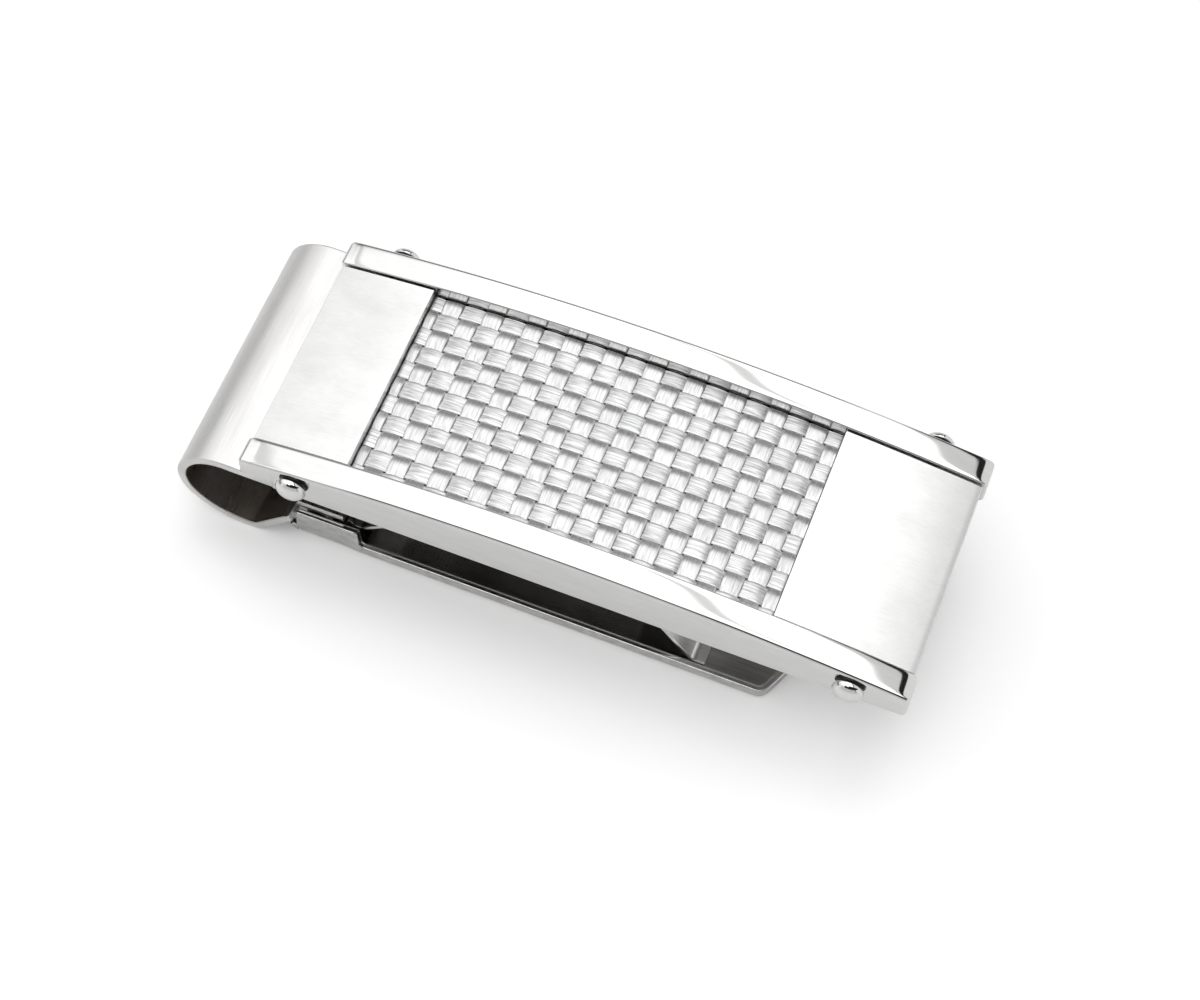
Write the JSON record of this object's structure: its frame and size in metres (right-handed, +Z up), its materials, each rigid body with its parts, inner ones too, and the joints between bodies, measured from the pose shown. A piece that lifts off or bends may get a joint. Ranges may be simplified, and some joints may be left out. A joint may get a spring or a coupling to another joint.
{
  "type": "money clip",
  "caption": "Hinged spring money clip: an arched plate of polished rails, brushed end panels and a woven inlay on a looped steel strip, with a folding arm below.",
  "frame": {"origin": "middle of the overall box in plan, at the height of the surface that the clip stands on", "axes": "+X from the strip's loop to the free end, +Y across to the rear rail, +Z up through the inlay"},
  "size_m": [0.0576, 0.023, 0.0126],
  "materials": {
    "polished_steel": "mirror polished stainless steel",
    "brushed_panel": "fine brushed along the length",
    "strip_steel": "brushed across the strip",
    "arm_steel": "polished, with soft edges",
    "spring_steel": "satin spring temper",
    "silver_weave": "silver-white plain woven glass tows",
    "carrier_board": "matt dark backing"
  },
  "bodies": {
    "plate": {"loop_strip": "strip_steel", "base_plate": "strip_steel", "rail_front": "polished_steel", "rail_rear": "polished_steel", "end_panel_left": "brushed_panel", "end_panel_right": "brushed_panel", "inlay_carrier": "carrier_board", "weave_inlay": "silver_weave", "stud_front_left": "polished_steel", "stud_front_right": "polished_steel", "stud_rear_left": "polished_steel", "stud_rear_right": "polished_steel"},
    "arm": {"clip_arm": "arm_steel", "hinge_pin": "arm_steel"},
    "bow": {"leaf_spring": "spring_steel"}
  },
  "joints": [
    {"name": "arm_open", "type": "hinge", "parent": "plate", "child": "arm", "pos_m": [-0.01802, 0, 0.00155], "axis": [0, 1, 0], "range_deg": [0, 45], "stiffness_Nm_per_rad": 0.06, "springref_deg": -28.65},
    {"name": "leaf_press", "type": "slide", "parent": "arm", "child": "bow", "axis": [0, 0, -1], "range_m": [0, 0.0025], "stiffness_N_per_m": 800, "deforming": ["leaf_spring"]}
  ]
}
